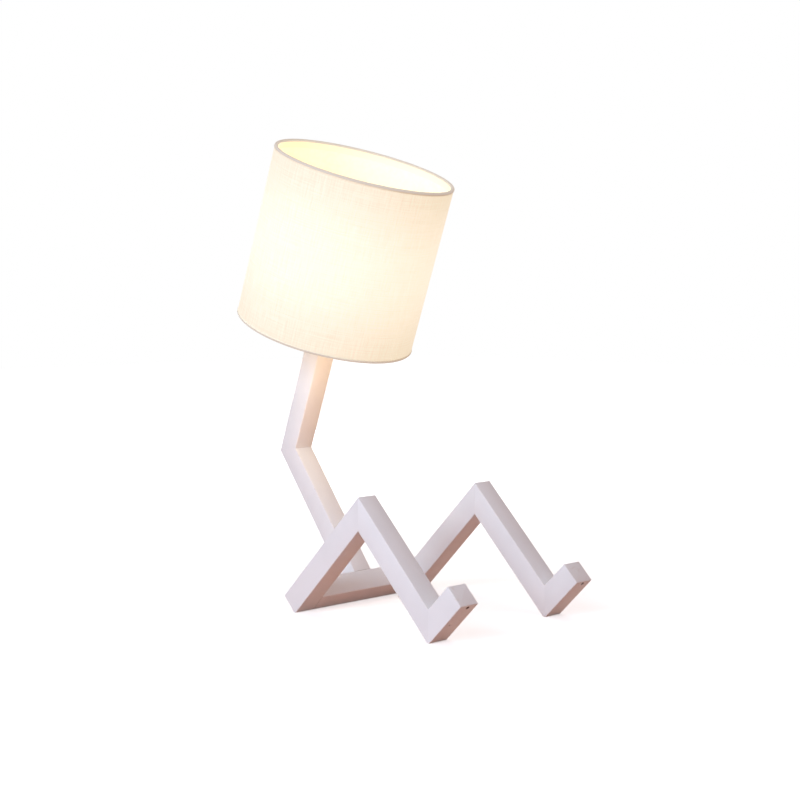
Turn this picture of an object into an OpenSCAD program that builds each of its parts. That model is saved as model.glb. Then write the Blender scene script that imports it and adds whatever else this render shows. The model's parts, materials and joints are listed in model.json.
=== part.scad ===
// Shelf table lamp in the shape of a sitting reader.
// Square painted bars make the legs, the seat rail, the leaning back and the neck,
// and a drum shade on a screw lamp holder is the head.
// Millimetres. X runs across the lamp, the lamp faces -Y, Z is up.
// The origin is on the table, under the middle of the lamp's outline.

/* [Legs] */
// Side of the square leg and rail bars
bar = 20; // [18:0.5:26]
// Distance between the middles of the two legs
leg_spacing = 140; // [110:1:200]
// Upper edge of the thigh, from its rear end to the ridge of the knee
thigh_len = 134; // [115:1:170]
// Sole of the foot, from the heel edge to the toe end
sole_len = 50; // [40:1:75]
// Slope of the thighs and shins to the table, in degrees
leg_slope = 45; // [41:0.5:49]
// Depth of the flats planed on the edges that touch the table
flat_depth = 1.5; // [0.5:0.1:2.5]
// Diameter of the small hole in each sole
toe_hole_d = 3; // [2:0.1:4]
// Depth of the small hole in each sole
toe_hole_depth = 10; // [5:0.5:14]
// Distance of the small hole's middle from the toe end
toe_hole_edge = 3.2; // [2.8:0.1:8]
// Diameter of the steel weight inside each shin
weight_d = 8; // [6:0.1:8.4]
// Distance of the weight from the middle of the ankle mitre
weight_inset = 8; // [6:0.5:12]
// Length of the shin that stays solid below the middle of the knee mitre
knee_solid = 18; // [15:0.5:30]

/* [Back and neck] */
// Side of the square back and neck bars
post_bar = 20; // [18:0.5:26]
// Front edge of the back post, from the seat rail to the bend
back_len = 132; // [110:1:170]
// Lean of the back post to the rear, in degrees
back_lean = 37.7; // [32:0.1:43]
// Front edge of the neck post, from the bend to its upper end
neck_len = 105; // [90:1:140]
// Lean of the neck post to the front, in degrees
neck_lean = 20.5; // [10:0.1:26]

/* [Dowels] */
// Diameter of the dowels in the knees, in the rail and at the foot of the back
dowel_d = 5; // [4:0.1:6]
// Length of the dowels across the knee mitres
knee_dowel_len = 15; // [10:0.5:16]
// Length of the dowels between rail and thighs
rail_dowel_len = 24; // [16:1:30]
// Distance between the two dowels of one rail end
rail_dowel_gap = 9; // [7.5:0.1:10]
// Length of the dowels between rail and back post
post_dowel_len = 30; // [20:1:32]
// Share of those dowels' length that is in the rail
rail_share = 0.4; // [0.3:0.05:0.5]
// Distance between the two dowels at the foot of the back
post_dowel_gap = 10; // [7:0.1:11]
// Diameter of the slim dowels in pairs across the ankles and the bend
slim_dowel_d = 3.6; // [3:0.1:4]
// Length of the slim dowels
slim_dowel_len = 14; // [10:0.5:18]
// Distance between the two slim dowels of a pair
slim_dowel_gap = 13; // [12.6:0.1:13.4]
// Radial glue room round a dowel, and between other fixed fits
fixed_fit = 0.05; // [0.02:0.01:0.1]
// Glue room past each end of a dowel
dowel_end_room = 0.5; // [0.2:0.1:1]

/* [Wiring] */
// Diameter of the wire channel in back and neck
channel_d = 7; // [6.4:0.1:7.5]
// Diameter of the lead inside the channel
lead_d = 6; // [5:0.1:6.2]
// Diameter of one insulated core of the lead
core_d = 2; // [1.6:0.1:2.4]
// Height of the cord bush above the foot of the back, along the post
bush_height = 34; // [30:1:60]
// Diameter of the bush where it sits in the post
bush_d = 10; // [9:0.1:11]
// Depth of the bush in the post
bush_depth = 6; // [4:0.5:6]
// Diameter of the flange of the bush
bush_flange_d = 14; // [12:0.5:16]
// Thickness of the flange of the bush
bush_flange_t = 1.5; // [1:0.1:2.5]
// Diameter of the cord hole in the bush
bush_bore_d = 6.4; // [6:0.1:7]

/* [Lamp holder] */
// Outside diameter of the threaded nipple
nipple_d = 10; // [9.5:0.1:10.5]
// Bore of the threaded nipple
nipple_bore_d = 7; // [6.4:0.1:7.5]
// Depth of the nipple in the neck
nipple_depth = 22; // [15:1:30]
// Height of the nipple above the end of the neck
nipple_rise = 10; // [8:0.1:10.4]
// Width of the nipple's nut across its flats
nut_flats = 14; // [13:0.5:16]
// Thickness of the nipple's nut
nut_h = 4; // [3:0.1:5]
// Diameter of the holder's dome at its foot
dome_foot_d = 24; // [22:0.5:27]
// Diameter of the holder's dome at its rim
dome_d = 40; // [39:0.5:44]
// Height of the holder's dome
dome_h = 20; // [19:0.5:24]
// Wall of the holder's dome
dome_wall = 2; // [1.5:0.1:2.2]
// Thickness of the dome's floor
dome_floor = 3; // [2:0.1:3.5]
// Diameter of the shoulder that carries the shade
shoulder_d = 46; // [45:0.5:50]
// Thickness of the shoulder that carries the shade
shoulder_t = 2.5; // [2:0.1:4]
// Diameter of the holder's threaded skirt
skirt_d = 39; // [38:0.1:40]
// Height of the holder's threaded skirt
skirt_h = 32.5; // [31:0.5:36]
// Wall of the threaded skirt
skirt_wall = 3.2; // [2.5:0.1:3.3]
// Depth of the skirt's spigot in the dome
spigot_h = 5; // [3:0.5:6]
// Thickness of the insulating cup's floor
cup_floor = 14; // [12:0.5:15]
// Height of the insulating cup's wall above its floor
cup_h = 23; // [18:0.5:25]
// Depth of the insulating cup's upper edge in the skirt
cup_inset = 5; // [4:0.5:5.5]
// Thickness of the brass screw sleeve and of the spring contact
brass_t = 0.5; // [0.4:0.05:0.8]
// Height of the brass screw sleeve
sleeve_h = 25; // [20:0.5:26]
// Width of the sleeve's lip on the cup's floor
sleeve_lip = 3; // [2:0.1:4]
// Width of the spring contact
contact_w = 6; // [4:0.5:8]
// Rise of the spring contact above the cup's floor
contact_rise = 3.2; // [2:0.1:4]
// Length of the spring contact's foot on the cup's floor
contact_foot = 4; // [3:0.1:5]
// Length of the spring contact's level end under the bulb
contact_tongue = 3; // [2:0.1:4]
// Width of one terminal block
terminal_w = 5; // [4:0.5:6]
// Diameter of a terminal screw
terminal_screw_d = 2.5; // [2:0.1:3]
// Diameter of a terminal screw's head
terminal_head_d = 4.2; // [3.5:0.1:4.6]
// Distance of the terminal blocks' middles from the axis
terminal_x = 9; // [8.5:0.1:11]

/* [Bulb] */
// Diameter of the bulb's screw cap
cap_d = 26.4; // [26:0.05:26.8]
// Radial running clearance of the cap in the sleeve and of the ring on the skirt
thread_fit = 0.08; // [0.02:0.01:0.1]
// Length of the bulb's screw cap
cap_h = 20; // [18:0.5:22]
// Wall of the bulb's screw cap
cap_wall = 0.6; // [0.4:0.05:1]
// Diameter of the bulb's foot contact
tip_d = 9.6; // [8:0.1:11]
// Height of the bulb's foot contact
tip_h = 1.5; // [1:0.1:2]
// Diameter of the foot contact's stem
stem_d = 4; // [3:0.1:5]
// Height of the bulb's glass insulator
insulator_h = 4.5; // [4:0.1:6]
// Height of the bulb's housing above the cap
housing_h = 19; // [15:0.5:24]
// Diameter of the bulb's housing at its upper end
housing_d = 38; // [34:0.5:42]
// Wall of the bulb's housing and globe
bulb_wall = 1.4; // [1:0.1:1.8]
// Diameter of the bulb's globe
globe_d = 45; // [43:0.5:50]
// Thickness of the light board
board_t = 1.6; // [1:0.1:2]
// Number of light chips on the board
chips = 8; // [6:1:10]

/* [Shade] */
// Outside diameter of the shade, over its rims
shade_d = 163; // [140:1:200]
// Height of the shade, over its rims
shade_h = 156; // [140:1:200]
// Distance from the end of the neck up to the shade's lower rim
shade_start = 8; // [2:0.5:14]
// Thickness of the shade's cloth
cloth_t = 0.6; // [0.4:0.05:1]
// Thickness of the shade's stiff liner
liner_t = 0.25; // [0.2:0.05:0.5]
// How far the rolled rims stand out from the cloth
rim_proud = 0.5; // [0.3:0.05:0.8]
// Diameter of the ring wire
wire_d = 2.2; // [2:0.1:3]
// Diameter of the fitter's arm wire
arm_d = 1.8; // [1.4:0.1:2]
// Outside diameter of the fitter's hub plate
hub_d = 62; // [58:0.5:70]
// Thickness of the fitter's hub plate
hub_t = 1; // [0.8:0.1:2]
// Radial clearance of the hub plate round the skirt
hub_clearance = 0.3; // [0.1:0.05:0.5]
// Number of fitter arms
arms = 3; // [3:1:4]
// Width of the lap seam of the cloth
seam_w = 8; // [5:0.5:12]
// Thickness of the lap seam of the cloth
seam_t = 0.3; // [0.2:0.05:0.4]
// Place of the lap seam round the shade, in degrees
seam_angle = 277; // [270:1:290]
// Outside diameter of the ring nut that holds the shade
ring_d = 51; // [48:0.5:54]
// Height of the ring nut that holds the shade
ring_h = 8; // [6:0.5:12]
// Number of grip ribs on the ring nut
ring_ribs = 24; // [16:1:30]
// Diameter of one grip rib
rib_d = 2; // [1.5:0.1:2.4]
// Gap between pieces that move past each other
move_gap = 0.3; // [0.2:0.05:0.5]

/* [Hidden] */
$fn = 96;
eps = 1;
sides = [-1, 1];

// The side view is drawn in [u, z]: u runs forward from the rear edge that the lamp sits on.
thigh_dir = [cos(leg_slope), sin(leg_slope)];
thigh_up = [-sin(leg_slope), cos(leg_slope)];
shin_dir = [cos(leg_slope), -sin(leg_slope)];
foot_dir = [sin(leg_slope), cos(leg_slope)];
thigh_under = thigh_len - bar * tan(leg_slope);
hip_low = [0, -flat_depth];
hip_top = hip_low + bar * thigh_up;
knee_in = hip_low + thigh_under * thigh_dir;
knee_out = knee_in + [0, bar / cos(leg_slope)];
heel = knee_in + thigh_under * shin_dir;
instep = heel + bar * (foot_dir - shin_dir);
ankle_mid = (heel + instep) / 2;
weight_len = thigh_under - knee_solid - weight_inset;
toe_low = heel + sole_len * foot_dir;
toe_top = toe_low - bar * shin_dir;
rail_low = hip_low + bar * thigh_dir;
rail_top = hip_top + bar * thigh_dir;
rail_mid = (hip_low + rail_top) / 2;

// Back and neck: the front edges meet at bend_front, the rear edges at bend_rear.
back_dir = [-sin(back_lean), cos(back_lean)];
back_rearward = [-cos(back_lean), -sin(back_lean)];
neck_dir = [sin(neck_lean), cos(neck_lean)];
neck_forward = [cos(neck_lean), -sin(neck_lean)];
bend_half = (back_lean + neck_lean) / 2;
bend_tilt = (back_lean - neck_lean) / 2;
bend_front = rail_top + back_len * back_dir;
bend_rear = bend_front - post_bar / cos(bend_half) * [cos(bend_tilt), sin(bend_tilt)];
bend_mid = (bend_front + bend_rear) / 2;
bend_across = [-sin(bend_tilt), cos(bend_tilt)];
foot_rear = rail_top - post_bar / cos(leg_slope - back_lean) * thigh_dir;
foot_mid = (rail_top + foot_rear) / 2;
neck_top_front = bend_front + neck_len * neck_dir;
neck_top = neck_top_front - post_bar / 2 * neck_forward;
bush_in = foot_mid + bush_height * back_dir;
bush_face = bush_in + post_bar / 2 * back_rearward;

// Heights along the neck's axis, from the end of the neck.
shoulder_top = dome_h + shoulder_t;
skirt_top = shoulder_top + skirt_h;
skirt_in = skirt_d - 2 * skirt_wall;
cup_d = skirt_in - 2 * fixed_fit;
cup_seat = skirt_top - cup_inset - cup_h;
cup_low = cup_seat - cup_floor;
sleeve_in = cap_d + 2 * thread_fit;
sleeve_d = sleeve_in + 2 * brass_t;
lip_in = sleeve_in - 2 * sleeve_lip;
contact_top = cup_seat + contact_rise + brass_t;
bulb_low = contact_top + move_gap;
insulator_low = bulb_low + tip_h + move_gap;
cap_low = insulator_low + insulator_h;
cap_top = cap_low + cap_h;
cap_in = cap_d - 2 * cap_wall;
housing_top = cap_top + housing_h;
globe_mid = housing_top + sqrt(pow(globe_d / 2, 2) - pow(housing_d / 2, 2));
hub_low = shoulder_top + move_gap;
hub_top = hub_low + hub_t;
hub_in = skirt_d + 2 * hub_clearance;
ring_low = hub_top + move_gap;
ring_in = skirt_d + 2 * thread_fit;
terminal_h = terminal_w - fixed_fit;

// Shade: the rims are rolled round the wire rings.
rim_r = wire_d / 2 + cloth_t;
ring_r = shade_d / 2 - rim_r;
cloth_r = shade_d / 2 - rim_proud;
liner_r = cloth_r - cloth_t - fixed_fit;
rim_low = shade_start + rim_r;
rim_high = shade_start + shade_h - rim_r;
arm_end_r = hub_d / 2 - arm_d;
arm_step = 360 / arms;
arm_first = 90;

// The lamp's outline runs from the toes back to the bend or the shade's lower rim.
shade_rear = neck_top[0] + rim_low * neck_dir[0] - ring_r * neck_forward[0] - rim_r;
u_front = max(toe_low[0], toe_top[0]);
u_rear = min(bend_rear[0], shade_rear);
y_hip = (u_front + u_rear) / 2;

// A point of the side view in space
function at(x, p) = [x, y_hip - p[0], p[1]];

// A bar with its side view as an outline, centred on x
module side_bar(outline, x, width) {
    translate(at(x, [0, 0])) rotate([90, 0, -90]) linear_extrude(width, center = true) polygon(outline);
}

// A round rod between two points in space
module rod(a, b, d) {
    v = b - a;
    translate(a) rotate([0, acos(v[2] / norm(v)), atan2(v[1], v[0])]) cylinder(h = norm(v), d = d);
}

// A dowel or its hole in the side view: a middle, a direction and a length
module dowel(x, mid, dir, len, d) {
    rod(at(x, mid - len / 2 * dir), at(x, mid + len / 2 * dir), d);
}

// Pieces on the neck's axis, at a height above the end of the neck
module on_neck(h = 0) {
    translate(at(0, neck_top)) rotate([neck_lean, 0, 0]) translate([0, 0, h]) children();
}

// A ring of round wire about the neck's axis
module wire_ring(r, d) {
    rotate_extrude() translate([r, 0]) circle(d = d, $fn = 48);
}

// A tube about the neck's axis
module tube(d_out, d_in, h) {
    difference() {
        cylinder(h = h, d = d_out);
        translate([0, 0, -eps]) cylinder(h = h + 2 * eps, d = d_in);
    }
}

// What lies below the table top
module below_table() {
    depth = bar;
    width = leg_spacing + 2 * bar;
    length = heel[0] + 4 * bar;
    translate([-width / 2, y_hip - heel[0] - 2 * bar, -depth]) cube([width, length, depth]);
}

// Dowels and their holes: fit is 0 and room is 0 for the dowels themselves
module knee_dowel(side, fit = 0, room = 0) {
    mid = (knee_in + knee_out) / 2;
    dowel(side * leg_spacing / 2, mid, [1, 0], knee_dowel_len + 2 * room, dowel_d + 2 * fit);
}

module ankle_dowel_pair(side, fit = 0, room = 0) {
    across = (shin_dir + foot_dir) / norm(shin_dir + foot_dir);
    len = slim_dowel_len + 2 * room;
    for (k = sides) {
        x = side * leg_spacing / 2 + k * slim_dowel_gap / 2;
        dowel(x, ankle_mid, across, len, slim_dowel_d + 2 * fit);
    }
}

module rail_dowel_pair(side, fit = 0, room = 0) {
    joint_x = side * (leg_spacing - bar) / 2;
    half = rail_dowel_len / 2 + room;
    for (k = sides) {
        mid = rail_mid + k * rail_dowel_gap / 2 * thigh_dir;
        rod(at(joint_x - half, mid), at(joint_x + half, mid), dowel_d + 2 * fit);
    }
}

module post_dowel_pair(fit = 0, room = 0) {
    in_rail = rail_share * post_dowel_len;
    mid = foot_mid + (post_dowel_len / 2 - in_rail) * back_dir;
    len = post_dowel_len + 2 * room;
    for (k = sides) dowel(k * post_dowel_gap / 2, mid, back_dir, len, dowel_d + 2 * fit);
}

module bend_dowel_pair(fit = 0, room = 0) {
    len = slim_dowel_len + 2 * room;
    for (k = sides) dowel(k * slim_dowel_gap / 2, bend_mid, bend_across, len, slim_dowel_d + 2 * fit);
}

// The bars of the legs
module thigh(side) {
    color("ghostwhite") difference() {
        side_bar([hip_low, hip_top, knee_out, knee_in], side * leg_spacing / 2, bar);
        below_table();
        knee_dowel(side, fixed_fit, dowel_end_room);
        rail_dowel_pair(side, fixed_fit, dowel_end_room);
    }
}

module shin(side) {
    x = side * leg_spacing / 2;
    bore_top = ankle_mid - (weight_inset + weight_len + dowel_end_room) * shin_dir;
    color("ghostwhite") difference() {
        side_bar([knee_in, knee_out, instep, heel], x, bar);
        below_table();
        knee_dowel(side, fixed_fit, dowel_end_room);
        ankle_dowel_pair(side, fixed_fit, dowel_end_room);
        rod(at(x, ankle_mid + bar * shin_dir), at(x, bore_top), weight_d + 2 * fixed_fit);
    }
}

module foot(side) {
    hole_mid = toe_low - toe_hole_edge * foot_dir;
    x = side * leg_spacing / 2;
    color("ghostwhite") difference() {
        side_bar([instep, toe_top, toe_low, heel], x, bar);
        below_table();
        ankle_dowel_pair(side, fixed_fit, dowel_end_room);
        rod(at(x, hole_mid + eps * shin_dir), at(x, hole_mid - toe_hole_depth * shin_dir), toe_hole_d);
    }
}

module seat_rail() {
    color("ghostwhite") difference() {
        side_bar([hip_low, hip_top, rail_top, rail_low], 0, leg_spacing - bar);
        below_table();
        for (side = sides) rail_dowel_pair(side, fixed_fit, dowel_end_room);
        post_dowel_pair(fixed_fit, dowel_end_room);
    }
}

// The back and the neck, with the wire channel along their middles
module back_post() {
    channel_start = bush_in - channel_d / 2 * back_dir;
    channel_end = bend_mid + channel_d * back_dir;
    color("ghostwhite") difference() {
        side_bar([rail_top, bend_front, bend_rear, foot_rear], 0, post_bar);
        rod(at(0, channel_start), at(0, channel_end), channel_d);
        rod(at(0, bush_in), at(0, bush_face + eps * back_rearward), bush_d + 2 * fixed_fit);
        post_dowel_pair(fixed_fit, dowel_end_room);
        bend_dowel_pair(fixed_fit, dowel_end_room);
    }
}

module neck_post() {
    channel_start = bend_mid - channel_d * neck_dir;
    neck_top_rear = neck_top_front - post_bar * neck_forward;
    color("ghostwhite") difference() {
        side_bar([bend_front, neck_top_front, neck_top_rear, bend_rear], 0, post_bar);
        rod(at(0, channel_start), at(0, neck_top + eps * neck_dir), channel_d);
        on_neck(-nipple_depth) cylinder(h = nipple_depth + eps, d = nipple_d + 2 * fixed_fit);
        bend_dowel_pair(fixed_fit, dowel_end_room);
    }
}

module knee_dowels() {
    color("burlywood") for (side = sides) knee_dowel(side);
}

module ankle_dowels() {
    color("burlywood") for (side = sides) ankle_dowel_pair(side);
}

module rail_dowels() {
    color("burlywood") for (side = sides) rail_dowel_pair(side);
}

module post_dowels() {
    color("burlywood") post_dowel_pair();
}

module bend_dowels() {
    color("burlywood") bend_dowel_pair();
}

// Steel bars in the shins: they balance the head, which is behind the edge that the lamp sits on
module shin_weights() {
    low = ankle_mid - weight_inset * shin_dir;
    color("dimgray") for (side = sides) {
        x = side * leg_spacing / 2;
        rod(at(x, low), at(x, low - weight_len * shin_dir), weight_d);
    }
}

// Wiring: the flanged bush that a cord comes in through, and the lead inside the posts
module cord_bush() {
    inner_end = bush_face - bush_depth * back_rearward;
    outer_end = bush_face + bush_flange_t * back_rearward;
    color("white") difference() {
        union() {
            rod(at(0, inner_end), at(0, bush_face + bush_flange_t / 2 * back_rearward), bush_d);
            rod(at(0, bush_face), at(0, outer_end), bush_flange_d);
        }
        rod(at(0, inner_end - eps * back_rearward), at(0, outer_end + eps * back_rearward), bush_bore_d);
    }
}

module inner_lead() {
    sheath_top = nipple_rise;
    core_h = sheath_top + core_d / 2 + fixed_fit;
    core_end = terminal_x - terminal_w / 2 - fixed_fit;
    color("whitesmoke") {
        union() {
            rod(at(0, bush_in), at(0, bend_mid), lead_d);
            translate(at(0, bend_mid)) sphere(d = (lead_d + channel_d) / 2);
            rod(at(0, bend_mid), at(0, neck_top + sheath_top * neck_dir), lead_d);
            on_neck(sheath_top - core_d) cylinder(h = core_h - sheath_top + core_d, d = core_d);
            on_neck(core_h) rod([-core_end, 0, 0], [core_end, 0, 0], core_d);
        }
    }
}

// Lamp holder, from the neck upwards
module nipple() {
    color("goldenrod") on_neck(-nipple_depth) tube(nipple_d, nipple_bore_d, nipple_depth + nipple_rise);
}

module nipple_nut() {
    color("silver") on_neck(dome_floor) difference() {
        cylinder(h = nut_h, d = nut_flats / cos(30), $fn = 6);
        translate([0, 0, -eps]) cylinder(h = nut_h + 2 * eps, d = nipple_d + 2 * fixed_fit);
    }
}

module holder_dome() {
    turns = [0:15:90];
    arc_h = dome_h - spigot_h - dome_floor;
    foot_r = dome_foot_d / 2;
    reach = dome_d / 2 - foot_r;
    outer = [for (t = turns) [foot_r + reach * sin(t), max(fixed_fit, arc_h * (1 - cos(t)))]];
    rim_in = dome_d / 2 - dome_wall;
    inner = [for (t = turns) [rim_in - reach * (1 - cos(t)), dome_floor + arc_h * (1 - sin(t))]];
    hole_r = nipple_d / 2 + fixed_fit;
    rim = [[dome_d / 2, dome_h], [rim_in, dome_h]];
    color("white") on_neck() rotate_extrude()
        polygon(concat(outer, rim, inner, [[hole_r, dome_floor], [hole_r, fixed_fit]]));
}

module holder_skirt() {
    spigot_d = dome_d - 2 * dome_wall - 2 * fixed_fit;
    color("white") on_neck(dome_h - spigot_h) difference() {
        union() {
            cylinder(h = spigot_h + shoulder_t, d = spigot_d);
            translate([0, 0, spigot_h]) cylinder(h = shoulder_t, d = shoulder_d);
            translate([0, 0, spigot_h]) cylinder(h = shoulder_t + skirt_h, d = skirt_d);
        }
        translate([0, 0, -eps]) cylinder(h = spigot_h + shoulder_t + skirt_h + 2 * eps, d = skirt_in);
    }
}

module insulating_cup() {
    color("ivory") on_neck(cup_low) difference() {
        cylinder(h = cup_floor + cup_h, d = cup_d);
        translate([0, 0, cup_floor]) cylinder(h = cup_h + eps, d = sleeve_d + 2 * fixed_fit);
    }
}

module screw_sleeve() {
    color("gold") on_neck(cup_seat) difference() {
        cylinder(h = sleeve_h, d = sleeve_d);
        translate([0, 0, brass_t]) cylinder(h = sleeve_h, d = sleeve_in);
        translate([0, 0, -eps]) cylinder(h = 2 * eps + brass_t, d = lip_in);
    }
}

// A bent strip: its foot lies on the cup's floor and its tongue reaches under the bulb
module spring_contact() {
    foot_end = lip_in / 2 - 2 * brass_t;
    foot_start = foot_end - contact_foot;
    tip = -tip_d / 2;
    rise_start = tip + contact_tongue;
    under = [[foot_end, 0], [foot_start, 0], [rise_start, contact_rise], [tip, contact_rise]];
    over = [for (k = [3:-1:0]) under[k] + [0, brass_t]];
    color("gold") on_neck(cup_seat) rotate([90, 0, 0]) linear_extrude(contact_w, center = true)
        polygon(concat(under, over));
}

module terminal_blocks() {
    block = [terminal_w, terminal_w, terminal_h];
    color("gold") for (side = sides) on_neck(cup_low - terminal_h) translate([side * terminal_x, 0, 0])
        difference() {
            translate([-terminal_w / 2, -terminal_w / 2, 0]) cube(block);
            translate([0, -terminal_w, terminal_h / 2]) rotate([-90, 0, 0])
                cylinder(h = 2 * terminal_w, d = terminal_screw_d + 2 * fixed_fit);
        }
}

module terminal_screws() {
    head_h = terminal_screw_d / 2;
    color("silver") for (side = sides) on_neck(cup_low - terminal_h / 2)
        translate([side * terminal_x, 0, 0]) rotate([-90, 0, 0]) {
            union() {
                translate([0, 0, -terminal_w / 4]) cylinder(h = terminal_w, d = terminal_screw_d);
                translate([0, 0, terminal_w / 2]) cylinder(h = head_h, d = terminal_head_d);
            }
        }
}

// Shade: the cloth with its rolled rims and lap seam
module shade_cloth() {
    seam_turn = seam_w / cloth_r * 180 / PI;
    wall_h = rim_high - rim_low;
    color("linen") difference() {
        union() {
            on_neck(rim_low) tube(2 * cloth_r, 2 * (cloth_r - cloth_t), wall_h);
            on_neck(rim_low) wire_ring(ring_r, 2 * rim_r);
            on_neck(rim_high) wire_ring(ring_r, 2 * rim_r);
            on_neck(rim_low) rotate(seam_angle) rotate_extrude(angle = seam_turn)
                translate([cloth_r - cloth_t / 2, 0]) square([cloth_t / 2 + seam_t, wall_h]);
        }
        on_neck(rim_low) wire_ring(ring_r, wire_d + 2 * fixed_fit);
        on_neck(rim_high) wire_ring(ring_r, wire_d + 2 * fixed_fit);
        fitter_arms(fixed_fit);
    }
}

module shade_liner() {
    low = rim_low + rim_r + fixed_fit;
    high = rim_high - rim_r - fixed_fit;
    color("white") on_neck(low) tube(2 * liner_r, 2 * (liner_r - liner_t), high - low);
}

module shade_top_ring() {
    color("silver") on_neck(rim_high) wire_ring(ring_r, wire_d);
}

// The arms that run from the lower ring in to the hub plate
module fitter_arms(fit = 0) {
    hub_mid = (hub_low + hub_top) / 2;
    on_neck() for (k = [0:arms - 1]) rotate(arm_first + k * arm_step)
        rod([ring_r, 0, rim_low], [arm_end_r, 0, hub_mid], arm_d + 2 * fit);
}

module shade_fitter() {
    color("silver") {
        union() {
            on_neck(rim_low) wire_ring(ring_r, wire_d);
            fitter_arms();
            on_neck(hub_low) tube(hub_d, hub_in, hub_t);
        }
    }
}

module shade_ring_nut() {
    color("white") on_neck(ring_low) difference() {
        union() {
            cylinder(h = ring_h, d = ring_d - rib_d);
            for (k = [0:ring_ribs - 1]) rotate(k * 360 / ring_ribs)
                translate([(ring_d - rib_d) / 2, 0, 0]) cylinder(h = ring_h, d = rib_d, $fn = 24);
        }
        translate([0, 0, -eps]) cylinder(h = ring_h + 2 * eps, d = ring_in);
    }
}

// Bulb, from its foot contact upwards
module bulb_foot_contact() {
    stem_h = move_gap + insulator_h / 2;
    color("silver") on_neck(bulb_low) {
        union() {
            cylinder(h = tip_h, d = tip_d);
            cylinder(h = tip_h + stem_h, d = stem_d);
        }
    }
}

module bulb_insulator() {
    collar_h = 2;
    ledge = 1;
    stem_room = insulator_h / 2 + move_gap;
    color("dimgray") on_neck(insulator_low) difference() {
        union() {
            cylinder(h = insulator_h, d1 = tip_d + 2 * ledge, d2 = cap_in - 2 * fixed_fit);
            translate([0, 0, insulator_h]) cylinder(h = collar_h, d = cap_in - 2 * fixed_fit);
        }
        translate([0, 0, -eps]) cylinder(h = eps + stem_room, d = stem_d + 2 * thread_fit);
    }
}

module bulb_cap() {
    color("silver") on_neck(cap_low) tube(cap_d, cap_in, cap_h);
}

module bulb_housing() {
    tail_h = 6;
    tail_r = cap_in / 2 - fixed_fit;
    foot_r = cap_d / 2 + bulb_wall / 2;
    top_r = housing_d / 2;
    seat_h = housing_h - board_t;
    color("white") on_neck(cap_top) rotate_extrude() polygon([
        [tail_r - bulb_wall, -tail_h], [tail_r, -tail_h], [tail_r, 0], [foot_r, 0],
        [top_r, housing_h], [top_r - bulb_wall, housing_h], [top_r - bulb_wall, seat_h],
        [top_r - 3 * bulb_wall, seat_h], [tail_r - bulb_wall, tail_h]
    ]);
}

module bulb_light_board() {
    board_r = housing_d / 2 - bulb_wall - fixed_fit;
    chip = 3;
    chip_t = 0.8;
    color("khaki") on_neck(housing_top - board_t) {
        union() {
            cylinder(h = board_t, r = board_r);
            for (k = [0:chips - 1]) rotate(k * 360 / chips)
                translate([board_r / 2, -chip / 2, board_t / 2]) cube([chip, chip, board_t / 2 + chip_t]);
        }
    }
}

module bulb_globe() {
    color("lightyellow") on_neck(globe_mid) difference() {
        sphere(d = globe_d);
        sphere(d = globe_d - 2 * bulb_wall);
        translate([0, 0, housing_top - globe_mid - globe_d]) cylinder(h = globe_d, d = 2 * globe_d);
    }
}

thigh(-1);  // thigh_right
thigh(1);  // thigh_left
shin(-1);  // shin_right
shin(1);  // shin_left
foot(-1);  // foot_right
foot(1);  // foot_left
seat_rail();
back_post();
neck_post();
knee_dowels();
ankle_dowels();
rail_dowels();
post_dowels();
bend_dowels();
shin_weights();
cord_bush();
inner_lead();
nipple();
nipple_nut();
holder_dome();
holder_skirt();
insulating_cup();
screw_sleeve();
spring_contact();
terminal_blocks();
terminal_screws();
shade_cloth();
shade_liner();
shade_top_ring();
shade_fitter();
shade_ring_nut();
bulb_foot_contact();
bulb_insulator();
bulb_cap();
bulb_housing();
bulb_light_board();
bulb_globe();
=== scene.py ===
# %% [markdown]
# # A shelf lamp that sits with its knees up
# The lamp is nine square bars of painted timber, joined by mitres, with a lit drum shade for a head. The
# exact solids come in as a fixed frame, in metres. Here the bars get eased edges and paint, the shade
# gets cloth and rolled rims, the round parts of the holder and the bulb get smooth walls and true
# threads, and every solid that stays gets a finish. Nothing changes size.

# %% Load the frame
import json
import math
import bmesh
import bpy
from mathutils import Matrix, Vector


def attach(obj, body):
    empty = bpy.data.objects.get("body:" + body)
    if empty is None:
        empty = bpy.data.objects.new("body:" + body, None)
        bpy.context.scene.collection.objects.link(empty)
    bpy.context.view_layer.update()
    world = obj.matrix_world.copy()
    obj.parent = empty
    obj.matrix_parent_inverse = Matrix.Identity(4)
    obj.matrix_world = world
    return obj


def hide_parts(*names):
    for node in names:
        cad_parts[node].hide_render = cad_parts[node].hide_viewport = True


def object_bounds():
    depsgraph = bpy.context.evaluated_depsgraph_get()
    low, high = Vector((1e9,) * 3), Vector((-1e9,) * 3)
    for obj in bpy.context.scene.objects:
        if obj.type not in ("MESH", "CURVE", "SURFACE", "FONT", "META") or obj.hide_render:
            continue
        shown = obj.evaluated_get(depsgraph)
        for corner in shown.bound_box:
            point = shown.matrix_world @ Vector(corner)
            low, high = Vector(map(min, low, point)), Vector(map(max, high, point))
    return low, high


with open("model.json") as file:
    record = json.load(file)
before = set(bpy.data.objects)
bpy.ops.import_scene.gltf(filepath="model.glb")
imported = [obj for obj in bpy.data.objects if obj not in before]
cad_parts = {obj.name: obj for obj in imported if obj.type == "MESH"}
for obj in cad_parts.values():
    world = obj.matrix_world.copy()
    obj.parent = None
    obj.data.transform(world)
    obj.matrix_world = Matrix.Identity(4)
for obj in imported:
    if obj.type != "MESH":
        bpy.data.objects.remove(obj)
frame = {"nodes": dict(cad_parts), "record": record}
cad_box = [list(corner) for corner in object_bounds()]
print("box of the solids:", cad_box)

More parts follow.
